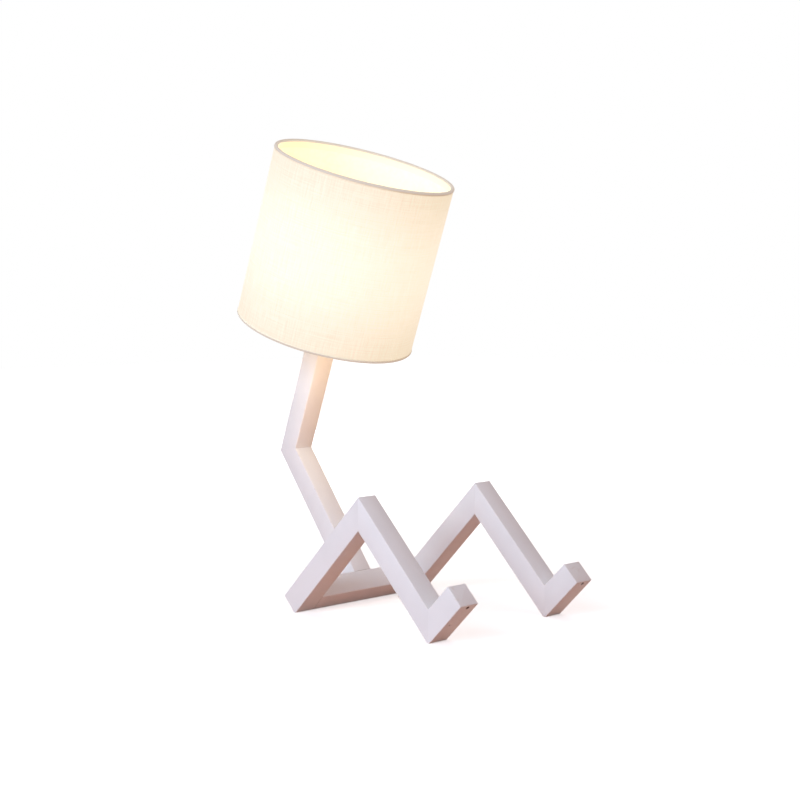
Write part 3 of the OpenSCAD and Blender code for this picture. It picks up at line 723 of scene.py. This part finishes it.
# %% Linen
def linen(name, light, dark, glow_low, glow_high):
    """Plain woven linen that is lit from inside."""
    material, tree, shader = principled(name)
    height, place = height_over_bulb(tree)
    uv = tree.nodes.new("ShaderNodeTexCoord").outputs["UV"]
    warp = noise(tree, uv, scale=1.0, detail=3.0, stretch=(900, 14, 1))
    weft = noise(tree, uv, scale=1.0, detail=3.0, stretch=(40, 620, 1))
    slubs_across = noise(tree, uv, scale=1.0, detail=2.0, stretch=(9, 130, 1))
    slubs_up = noise(tree, uv, scale=1.0, detail=2.0, stretch=(300, 6, 1))
    slubs = maths(tree, "ADD", slubs_across, slubs_up)
    four = maths(tree, "ADD", maths(tree, "ADD", warp, weft), slubs)
    threads = maths(tree, "MULTIPLY", four, 0.25)
    cloud = noise(tree, place, scale=26.0, detail=3.0)
    tree.links.new(ramp(tree, threads, dark, light, start=0.38, end=0.62), shader.inputs["Base Color"])
    tree.links.new(spread(tree, threads, 0.72, 0.92), shader.inputs["Roughness"])
    relief(tree, shader, threads, distance=0.4 * MM, strength=0.5)
    relief(tree, shader, cloud, distance=0.6 * MM, strength=0.25)
    shader.inputs["Sheen Weight"].default_value = 0.15
    shader.inputs["Sheen Roughness"].default_value = 0.5
    shader.inputs["Specular IOR Level"].default_value = 0.2
    uneven = spread(tree, threads, 0.1, 1.9)
    level = maths(tree, "MULTIPLY", bulb_light(tree, height), uneven)
    tree.links.new(ramp(tree, level, glow_low, glow_high, start=0.40), shader.inputs["Emission Color"])
    shader.inputs["Emission Strength"].default_value = 1.0
    return material


lit_linen = linen("lit_linen", light=(0.29, 0.29, 0.32), dark=(0.20, 0.20, 0.22),
                  glow_low=(0.80, 0.68, 0.48), glow_high=(0.97, 0.85, 0.66))
print("cloth of the drum:", lit_linen.name)

# %% Rolled linen
LIT_FROM = 0.1 * MM
LIT_FULL = 0.7 * MM
FRAY = 0.1 * MM


def rolled_linen(name):
    """Linen round the rim wires, glowing from inside, with painted shade where the wire stops the light and
    a pale base colour on the drum's side of it.
    """
    material, tree, shader = principled(name)
    height, place = height_over_bulb(tree)
    middle = (RIM_LOW + RIM_HIGH) / 2 - BULB_HEIGHT
    from_middle = maths(tree, "ABSOLUTE", maths(tree, "SUBTRACT", height, middle))
    inside = maths(tree, "SUBTRACT", CLOTH_H / 2, from_middle)
    threads = noise(tree, place, scale=1400.0, detail=3.0)
    edge = maths(tree, "ADD", inside, maths(tree, "MULTIPLY", threads, FRAY))
    clear = add_node(tree, "ShaderNodeMapRange", From_Min=LIT_FROM, From_Max=LIT_FULL)
    tree.links.new(edge, clear.inputs["Value"])
    # Painted shade of the wire: the base colour is dark where clear is 0 and pale where it is 1.
    tone = ramp(tree, clear.outputs[0], (0.30, 0.29, 0.27), (0.82, 0.78, 0.65))
    glow = ramp(tree, clear.outputs[0], (0.45, 0.385, 0.32), (0.25, 0.22, 0.14))
    tree.links.new(tone, shader.inputs["Base Color"])
    tree.links.new(glow, shader.inputs["Emission Color"])
    shader.inputs["Emission Strength"].default_value = 1.0
    tree.links.new(spread(tree, threads, 0.70, 0.92), shader.inputs["Roughness"])
    relief(tree, shader, threads, distance=0.05 * MM, strength=0.4)
    shader.inputs["Specular IOR Level"].default_value = 0.2
    return material


rim_linen = rolled_linen("rolled_linen")
print("cloth of the rims:", rim_linen.name)

# %% [markdown]
# ## Drum of the shade
# The cloth was cut flat, rolled to a drum and lapped by 8 mm. A cloth simulation has nothing to do here,
# because the cloth is glued to its liner. So an open cylinder takes the drum's size, and Subdivide gives
# its wall rows. The faces of the lap are copied and lifted by a hair, which leaves the seam's fine step,
# and Solidify gives the cloth its thickness, inwards, so that the outside keeps its size.

# %% Lap seam and place of the shade
SEAM_W = 8 * MM
SEAM_ANGLE = math.radians(277)


def stand_on_neck(piece):
    """Turns a piece that was made upright at the origin on to the neck's axis, and fixes it in its mesh."""
    select_only(piece)
    piece.matrix_world = NECK_FRAME
    bpy.ops.object.transform_apply(location=True, rotation=True, scale=True)


def on_seam(face):
    """True for the faces of the lap."""
    middle = face.calc_center_median()
    past = (math.atan2(middle.y, middle.x) - SEAM_ANGLE) % math.tau
    return past < SEAM_W / CLOTH_R


print("the lap takes", round(math.degrees(SEAM_W / CLOTH_R), 1), "degrees of the drum")

# %% Drum of the shade
SHADE_STEPS = 180
DRUM_CUTS = 11
SEAM_LIFT = 0.1 * MM
DRUM_SMOOTH = math.radians(30)
bpy.ops.object.select_all(action="DESELECT")
bpy.ops.mesh.primitive_cylinder_add(
    vertices=SHADE_STEPS, radius=CLOTH_R, depth=CLOTH_H, end_fill_type="NOTHING",
    location=(0, 0, (RIM_LOW + RIM_HIGH) / 2))
drum = bpy.context.object
drum.name = "linen_drum"
bpy.ops.object.transform_apply(location=True, rotation=True, scale=True)
edit(drum)
pick("EDGE", lambda e: abs(e.verts[0].co.z - e.verts[1].co.z) > CLOTH_H / 2)
bpy.ops.mesh.subdivide(number_cuts=DRUM_CUTS)
lap_faces = pick("FACE", on_seam)
bpy.ops.mesh.duplicate()
bpy.ops.transform.shrink_fatten(value=SEAM_LIFT)
bpy.ops.object.mode_set(mode="OBJECT")
drum.data.materials.append(lit_linen)
drum.data.materials.append(rim_linen)
bpy.ops.object.modifier_add(type="SOLIDIFY")
drum.modifiers[-1].thickness = CLOTH_T
drum.modifiers[-1].offset = -1
drum.modifiers[-1].material_offset = 1
bpy.ops.object.modifier_apply(modifier=drum.modifiers[-1].name)
stand_on_neck(drum)
bpy.ops.object.shade_smooth_by_angle(angle=DRUM_SMOOTH)
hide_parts("shade_cloth")
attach(drum, "shade")
print("drum:", len(drum.data.polygons), "faces, lap seam of", lap_faces)

# %% [markdown]
# ## Rolled rims
# At each edge the cloth is rolled round the wire and its end is glued down inside. A torus would give the
# bead, but not the glued end. In section the roll is a round bead with a thin tail, so a circle with two
# points pulled out is spun round the shade's axis. Spin leaves a double row where it closes, which is
# merged, and the normals are turned outwards after that.

# %% Rims
BEAD_STEPS = 24
TAIL_INSET = 0.6 * MM
TAIL_HALF = 0.5 * MM
TAIL_ABOVE = 1 * MM
TAIL_LEN = 4.5 * MM
TAIL_SHIFT = 0.2 * MM
MERGE = 0.01 * MM
RIM_SMOOTH = math.radians(40)


def rolled_rim(name, height, tail):
    """A bead about the shade's axis, with a tail inside the drum that runs up (1) or down (-1)."""

    def at_tail(point):
        inset = RING_R - point.co.x
        return abs(inset - TAIL_INSET) < TAIL_HALF and (point.co.z - height) * tail > TAIL_ABOVE

    bpy.ops.object.select_all(action="DESELECT")
    bpy.ops.mesh.primitive_circle_add(
        vertices=BEAD_STEPS, radius=RIM_R, location=(RING_R, 0, height), rotation=(RIGHT_ANGLE, 0, 0))
    rim = bpy.context.object
    rim.name = name
    bpy.ops.object.transform_apply(location=True, rotation=True, scale=True)
    edit(rim)
    pulled = pick("VERT", at_tail)
    bpy.ops.transform.translate(value=(TAIL_SHIFT, 0, tail * TAIL_LEN))
    bpy.ops.mesh.select_all(action="SELECT")
    bpy.ops.mesh.spin(steps=SHADE_STEPS, angle=math.tau, center=(0, 0, 0), axis=(0, 0, 1))
    bpy.ops.mesh.select_all(action="SELECT")
    bpy.ops.mesh.remove_doubles(threshold=MERGE)
    bpy.ops.mesh.normals_make_consistent(inside=False)
    bpy.ops.object.mode_set(mode="OBJECT")
    stand_on_neck(rim)
    bpy.ops.object.shade_smooth_by_angle(angle=RIM_SMOOTH)
    rim.data.materials.append(rim_linen)
    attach(rim, "shade")
    print(name, len(rim.data.polygons), "faces, points pulled out to a tail:", pulled)
    return rim


rims = [rolled_rim("rolled_rim_low", RIM_LOW, 1), rolled_rim("rolled_rim_high", RIM_HIGH, -1)]

# %% [markdown]
# ## Finishes of the small parts
# Each material of the holder, the bulb, the wiring and the fitter has its own grain: moulded plastic with
# a faint mould texture, drawn brass and plated steel with fine scratches, bare beech, opal. Each could
# have a node tree of its own, but they differ only in their numbers. So one function makes them all from
# a noise that is stretched for drawn metal. The pattern is set out along the neck, because these parts
# stand on its axis.
# The opal and the liner also glow by their height above the bulb: the bulb's own light on the opal, painted
# light of the bulb on the liner.

# %% Small-part finishes
def small_part(name, light, dark, rough, scale, stretch=(1, 1, 1), metal=0.0, glow=None):
    """A finish from one noise on Object coordinates: tone, gloss and relief. Glow is two colours of emission
    by the height above the bulb: the bulb's own light on the opal, painted light on the liner.
    """
    material, tree, shader = principled(name)
    height, place = height_over_bulb(tree)
    speckle = noise(tree, place, scale=scale, stretch=stretch)
    tree.links.new(ramp(tree, speckle, dark, light, start=0.32, end=0.68), shader.inputs["Base Color"])
    tree.links.new(spread(tree, speckle, *rough), shader.inputs["Roughness"])
    relief(tree, shader, speckle, distance=0.04 * MM, strength=0.4)
    shader.inputs["Metallic"].default_value = metal
    if glow:
        glow_colour = ramp(tree, bulb_light(tree, height), *glow, start=0.35)
        tree.links.new(glow_colour, shader.inputs["Emission Color"])
        shader.inputs["Emission Strength"].default_value = 1.0
    return material


finishes = {
    "white_plastic": small_part("moulded_white", light=(0.84, 0.83, 0.80), dark=(0.79, 0.78, 0.75),
                                rough=(0.28, 0.42), scale=420),
    "heat_plastic": small_part("heat_proof_plastic", light=(0.78, 0.76, 0.70), dark=(0.71, 0.69, 0.63),
                               rough=(0.45, 0.60), scale=300),
    "lead_sheath": small_part("lead_sheath_white", light=(0.80, 0.80, 0.78), dark=(0.72, 0.72, 0.70),
                              rough=(0.40, 0.55), scale=260),
    "dowel_wood": small_part("bare_beech", light=(0.66, 0.47, 0.29), dark=(0.52, 0.35, 0.20),
                             rough=(0.55, 0.75), scale=120, stretch=(6, 6, 1)),
    "brass": small_part("drawn_brass", light=(0.80, 0.60, 0.28), dark=(0.66, 0.47, 0.20),
                        rough=(0.22, 0.40), scale=300, stretch=(1, 1, 12), metal=1.0),
    "steel": small_part("plated_steel", light=(0.72, 0.72, 0.73), dark=(0.60, 0.60, 0.61),
                        rough=(0.20, 0.38), scale=300, stretch=(1, 1, 10), metal=1.0),
    "white_wire": small_part("white_wire_paint", light=(0.82, 0.80, 0.76), dark=(0.74, 0.72, 0.68),
                             rough=(0.32, 0.50), scale=500),
    "black_glass": small_part("black_glass", light=(0.05, 0.05, 0.055), dark=(0.02, 0.02, 0.025),
                              rough=(0.06, 0.16), scale=150),
    "light_board": small_part("board_lacquer", light=(0.86, 0.84, 0.74), dark=(0.78, 0.75, 0.60),
                              rough=(0.35, 0.50), scale=380),
    # The liner's glow is painted light: the bulb's light on the sheet, by the height above the bulb.
    "shade_liner": small_part("liner_sheet_painted_glow", light=(0.84, 0.80, 0.67), dark=(0.79, 0.75, 0.62),
                              rough=(0.50, 0.65), scale=240, glow=((0.28, 0.25, 0.18), (0.40, 0.36, 0.23))),
    "opal_globe": small_part("opal", light=(0.60, 0.57, 0.52), dark=(0.55, 0.52, 0.47),
                             rough=(0.20, 0.32), scale=90, glow=((0.62, 0.52, 0.34), (0.78, 0.70, 0.52))),
}
print("finishes:", ", ".join(finishes))

# %% [markdown]
# ## Turned pieces
# The holder, the bulb, the liner and the bush are round. The loaded solids are round too, but their flat
# triangles show as steps. By hand a round piece starts as one point: the point is extruded along the
# outline of the half section, and Spin sweeps the outline round the axis. A Screw modifier on a curve
# could do it too, but the outline would then be a second object to look after. The outlines repeat the
# source's sizes, with the corners eased, in millimetres: (radius, height above the end of the neck).

# %% Turning an outline
TURNED_STEPS = 96


def turned(name, outline, steps=TURNED_STEPS):
    """A closed outline of (radius, height) in millimetres, spun round the upright axis."""
    bpy.ops.object.select_all(action="DESELECT")
    bpy.ops.mesh.primitive_plane_add(size=MM, location=(0, 0, 0))
    piece = bpy.context.object
    piece.name = name
    edit(piece)
    bpy.ops.mesh.select_all(action="SELECT")
    bpy.ops.mesh.merge(type="CENTER")
    points = [Vector((r, 0, h)) * MM for r, h in outline]
    bpy.ops.transform.translate(value=points[0])
    for before, after in zip(points, points[1:]):
        bpy.ops.mesh.extrude_vertices_move(TRANSFORM_OT_translate={"value": after - before})
    bpy.ops.mesh.select_all(action="SELECT")
    bpy.ops.mesh.spin(steps=steps, angle=math.tau, center=(0, 0, 0), axis=(0, 0, 1))
    bpy.ops.mesh.select_all(action="SELECT")
    bpy.ops.mesh.remove_doubles(threshold=MERGE)
    bpy.ops.mesh.delete_loose()
    bpy.ops.mesh.select_all(action="SELECT")
    bpy.ops.mesh.normals_make_consistent(inside=False)
    bpy.ops.object.mode_set(mode="OBJECT")
    return piece


print("a turned piece has", TURNED_STEPS, "steps round its axis")

# %% Parts of an outline
def arc(middle, radii, first, last, step):
    """Points on an ellipse about a middle, by angle in degrees."""
    count = round(abs(last - first) / step)
    angles = [math.radians(first + (last - first) * k / count) for k in range(count + 1)]
    return [(middle[0] + radii[0] * math.cos(a), middle[1] + radii[1] * math.sin(a)) for a in angles]


def rows(radius, low, high, step):
    """Points up a straight wall, close enough together to take a thread."""
    count = round((high - low) / step)
    return [(radius, low + (high - low) * k / count) for k in range(count + 1)]


print("a quarter turn in steps of 15 degrees has", len(arc((0, 0), (1, 1), 0, 90, 15)), "points")

# %% Finish of a turned piece
TURNED_SMOOTH = math.radians(35)


def finish_turned(piece, node, slot, body):
    """Smooths a turned piece, gives it its finish and its body, and hides the solid of the node that it
    stands for.
    """
    select_only(piece)
    bpy.ops.object.shade_smooth_by_angle(angle=TURNED_SMOOTH)
    piece.data.materials.append(finishes[slot])
    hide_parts(node)
    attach(piece, body)
    print(piece.name, len(piece.data.polygons), "faces")


print("edges over", round(math.degrees(TURNED_SMOOTH)), "degrees stay sharp")

# %% [markdown]
# ## Threads
# A thread climbs one pitch in each turn, so Spin alone can't make it. A Screw modifier can, but its ends
# stay open and have to be joined to the wall. Here the wall of a turned piece has many rows of points,
# and each point moves in by its place in the pitch: its height, less the part of the pitch that its angle
# has climbed. That leaves one closed skin, and its crest stays on the source's radius.

# %% Cutting a thread
def groove(phase):
    """Share of a thread's depth at a place in its pitch, from 0 on the crest to 1 at the root."""
    return 0.5 - 0.5 * math.cos(math.tau * phase)


def cut_thread(piece, pitch, depth, low, high, reach):
    """Moves the points of a wall in along a right-hand helix. Sizes are in millimetres. It takes the points
    whose radius is over reach, and the groove runs out over one pitch at each end."""
    for vertex in piece.data.vertices:
        radius = math.hypot(vertex.co.x, vertex.co.y) / MM
        height = vertex.co.z / MM
        if radius > reach and low < height < high:
            turn = math.atan2(vertex.co.y, vertex.co.x) / math.tau
            ends = min(1.0, (height - low) / pitch, (high - height) / pitch)
            share = 1 - depth * groove((height / pitch - turn) % 1.0) * ends / radius
            vertex.co.x *= share
            vertex.co.y *= share


print("depth of the groove over one pitch:", [round(groove(k / 4), 2) for k in range(4)])

# %% [markdown]
# ## Lamp holder
# The holder is two mouldings: a dome that hides the terminals, and a skirt with a coarse thread that the
# shade's ring nut screws on to. Both are thin-walled and turned, so each is one closed outline, wall and
# all. A solid with the Solidify modifier would give the same wall all over, but the dome's floor is
# thicker than its side.

# %% Dome of the holder
DOME_FOOT_R = 12
DOME_R = 20
DOME_H = 20
DOME_WALL = 2
DOME_FLOOR = 3
DOME_EDGE = 0.4
NIPPLE_R = 5
SPIGOT_H = 5
ARC_STEP = 5
dome_in = DOME_R - DOME_WALL
dome_hole = NIPPLE_R + FIT
round_r = DOME_R - DOME_FOOT_R
round_h = DOME_H - SPIGOT_H - DOME_FLOOR
dome = turned("holder_cap", (
    arc((DOME_FOOT_R, round_h), (round_r, FIT - round_h), 90, 0, ARC_STEP)
    + [(DOME_R, DOME_H - DOME_EDGE), (DOME_R - DOME_EDGE, DOME_H), (dome_in, DOME_H)]
    + arc((dome_in - round_r, DOME_FLOOR + round_h), (round_r, round_h), 0, -90, ARC_STEP)
    + [(dome_hole, DOME_FLOOR), (dome_hole, FIT), (DOME_FOOT_R, FIT)]))
stand_on_neck(dome)
finish_turned(dome, "holder_dome", "white_plastic", "frame")

# %% Threaded skirt of the holder
SHOULDER_R = 23
SHOULDER_T = 2.5
SHOULDER_TOP = DOME_H + SHOULDER_T
SKIRT_R = 19.5
SKIRT_IN = 16.3
SKIRT_TOP = 55
SKIRT_EDGE = 0.4
SKIRT_PITCH = 2.2
SKIRT_GROOVE = 0.7
SKIRT_ROW = 0.27
PLAIN_LOW = 0.5
PLAIN_HIGH = 0.6
spigot_r = dome_in - FIT
spigot_low = DOME_H - SPIGOT_H
skirt = turned("holder_thread", (
    [(SKIRT_IN, spigot_low), (spigot_r, spigot_low), (spigot_r, DOME_H)]
    + [(SHOULDER_R - SKIRT_EDGE, DOME_H), (SHOULDER_R, DOME_H + SKIRT_EDGE)]
    + [(SHOULDER_R, SHOULDER_TOP - SKIRT_EDGE), (SHOULDER_R - SKIRT_EDGE, SHOULDER_TOP)]
    + rows(SKIRT_R, SHOULDER_TOP, SKIRT_TOP - SKIRT_EDGE, SKIRT_ROW)
    + [(SKIRT_R - SKIRT_EDGE, SKIRT_TOP), (SKIRT_IN, SKIRT_TOP), (SKIRT_IN, spigot_low)]))
cut_thread(skirt, SKIRT_PITCH, SKIRT_GROOVE, low=SHOULDER_TOP + PLAIN_LOW, high=SKIRT_TOP - PLAIN_HIGH,
           reach=(SKIRT_IN + SKIRT_R) / 2)
stand_on_neck(skirt)
finish_turned(skirt, "holder_skirt", "white_plastic", "frame")

# %% [markdown]
# ## Bulb
# The bulb is a rolled screw cap, a white housing that widens to the light board, and an opal globe. A
# sphere with its lower part cut off would make the globe, but a turned arc meets the housing's rim
# exactly and has its wall at once. The cap is one sheet, so its thread shows inside as well: the thread
# moves both of its walls. The globe casts no shadow, because the point light is inside it.

# %% Screw cap of the bulb
CAP_R = 13.2
CAP_IN = 12.6
CAP_EDGE = 0.3
CAP_PITCH = 3.629
CAP_GROOVE = 0.45
CAP_ROW = 0.36
CAP_PLAIN_LOW = 0.9
CAP_PLAIN_HIGH = 1.8
cap = turned("bulb_screw_cap", (
    [(CAP_IN, CAP_LOW), (CAP_R - CAP_EDGE, CAP_LOW)]
    + rows(CAP_R, CAP_LOW + CAP_EDGE, CAP_TOP - CAP_EDGE, CAP_ROW)
    + [(CAP_R - CAP_EDGE, CAP_TOP)]
    + rows(CAP_IN, CAP_LOW, CAP_TOP, CAP_ROW)[::-1]))
cut_thread(cap, CAP_PITCH, CAP_GROOVE, low=CAP_LOW + CAP_PLAIN_LOW, high=CAP_TOP - CAP_PLAIN_HIGH, reach=0)
stand_on_neck(cap)
finish_turned(cap, "bulb_cap", "steel", "bulb")

# %% Housing of the bulb
BULB_WALL = 1.4
BOARD_T = 1.6
HOUSING_TAIL = 6
CONE_EASE = 0.05
SEAT_EASE = 0.2
tail_r = CAP_IN - FIT
tail_in = tail_r - BULB_WALL
cone_foot = CAP_R + BULB_WALL / 2
board_r = HOUSING_R - BULB_WALL
board_low = HOUSING_TOP - BOARD_T
ledge_in = board_r - 2 * BULB_WALL
housing = turned("bulb_neck", [
    (tail_in, CAP_TOP - HOUSING_TAIL), (tail_r, CAP_TOP - HOUSING_TAIL), (tail_r, CAP_TOP),
    (cone_foot - CAP_EDGE, CAP_TOP), (cone_foot + CONE_EASE, CAP_TOP + CAP_EDGE),
    (HOUSING_R - CONE_EASE, HOUSING_TOP - CAP_EDGE), (HOUSING_R - SEAT_EASE, HOUSING_TOP),
    (board_r, HOUSING_TOP), (board_r, board_low), (ledge_in, board_low),
    (tail_in, CAP_TOP + HOUSING_TAIL), (tail_in, CAP_TOP - HOUSING_TAIL)])
stand_on_neck(housing)
finish_turned(housing, "bulb_housing", "white_plastic", "bulb")

# %% Globe of the bulb
GLOBE_STEP = 3
globe_in = GLOBE_R - BULB_WALL
globe_middle = (0, GLOBE_MID)
rim_angle = math.degrees(math.acos(HOUSING_R / GLOBE_R))
globe = turned("bulb_opal", (
    arc(globe_middle, (GLOBE_R, GLOBE_R), -rim_angle, 90, GLOBE_STEP)
    + arc(globe_middle, (globe_in, globe_in), 90, -rim_angle, GLOBE_STEP)
    + [(HOUSING_R, HOUSING_TOP)]))
stand_on_neck(globe)
finish_turned(globe, "bulb_globe", "opal_globe", "bulb")
globe.visible_shadow = False

# %% [markdown]
# ## Liner of the shade
# Behind the cloth is a stiff plastic sheet that the cloth is glued to. It could be left to the drum's
# inner face, but it is a piece of its own on the real shade and shows through both openings. It is a thin
# tube between the two rolled rims, so it is turned as the others are, with as many steps as the drum so
# that the two never touch.

# %% Liner of the shade
LINER_T = 0.25
liner_out = (CLOTH_R - CLOTH_T) / MM - FIT
liner_in = liner_out - LINER_T
liner_low = (RIM_LOW + RIM_R) / MM + FIT
liner_high = (RIM_HIGH - RIM_R) / MM - FIT
liner = turned("shade_backing", [
    (liner_in, liner_low), (liner_out, liner_low), (liner_out, liner_high), (liner_in, liner_high),
    (liner_in, liner_low)], SHADE_STEPS)
stand_on_neck(liner)
finish_turned(liner, "shade_liner", "shade_liner", "shade")

# %% [markdown]
# ## Cord bush
# A bush lines the hole low on the rear of the back. Its flange is rounded outside and inside so that
# nothing can chafe there. A bevel on the flange's edges would round them too, but in a turned outline
# each rounding is just an arc. The bush is turned upright at the origin like the rest, and then set into
# its hole, square to the back.

# %% Cord bush
BUSH_DEPTH = 6
BUSH_BORE = 3.2
BUSH_EDGE = 0.3
FLANGE_R = 7
FLANGE_T = 1.5
FLANGE_ROUND = 0.8
FLANGE_ROUND_H = 0.9
BUSH_STEP = 15
outer_round = (FLANGE_R - FLANGE_ROUND, FLANGE_T - FLANGE_ROUND_H)
inner_round = (BUSH_BORE + FLANGE_ROUND, FLANGE_T - FLANGE_ROUND)
bush = turned("cord_grommet", (
    [(BUSH_BORE + BUSH_EDGE, -BUSH_DEPTH), (BUSH_R, -BUSH_DEPTH), (BUSH_R, 0), (FLANGE_R, 0)]
    + arc(outer_round, (FLANGE_ROUND, FLANGE_ROUND_H), 0, 90, BUSH_STEP)
    + arc(inner_round, (FLANGE_ROUND, FLANGE_ROUND), 90, 180, BUSH_STEP)
    + [(BUSH_BORE, BUSH_EDGE - BUSH_DEPTH), (BUSH_BORE + BUSH_EDGE, -BUSH_DEPTH)]))
select_only(bush)
bush.matrix_world = Matrix.Translation(BUSH_FACE) @ BUSH_OUT.to_track_quat("Z", "Y").to_matrix().to_4x4()
bpy.ops.object.transform_apply(location=True, rotation=True, scale=True)
finish_turned(bush, "cord_bush", "white_plastic", "frame")

# %% [markdown]
# ## Solids that stay
# Dowels, weights, wiring, the fitter, the ring nut and the inner parts of the holder and the bulb have
# the right shape already. Modelling them again would add nothing, so their solids stay and only get a
# finish. The record names a material slot for each solid, and the slot picks the finish.

# %% Solids that stay
DRESSED_SLOTS = {"painted_wood", "shade_cloth"}
plain = [part for part in frame["record"]["subparts"] if part["material_slot"] not in DRESSED_SLOTS]
for part in plain:
    solid = frame["nodes"][part["node"]]
    solid.data.materials.clear()
    solid.data.materials.append(finishes[part["material_slot"]])
print("finishes given to", len(plain), "solids")
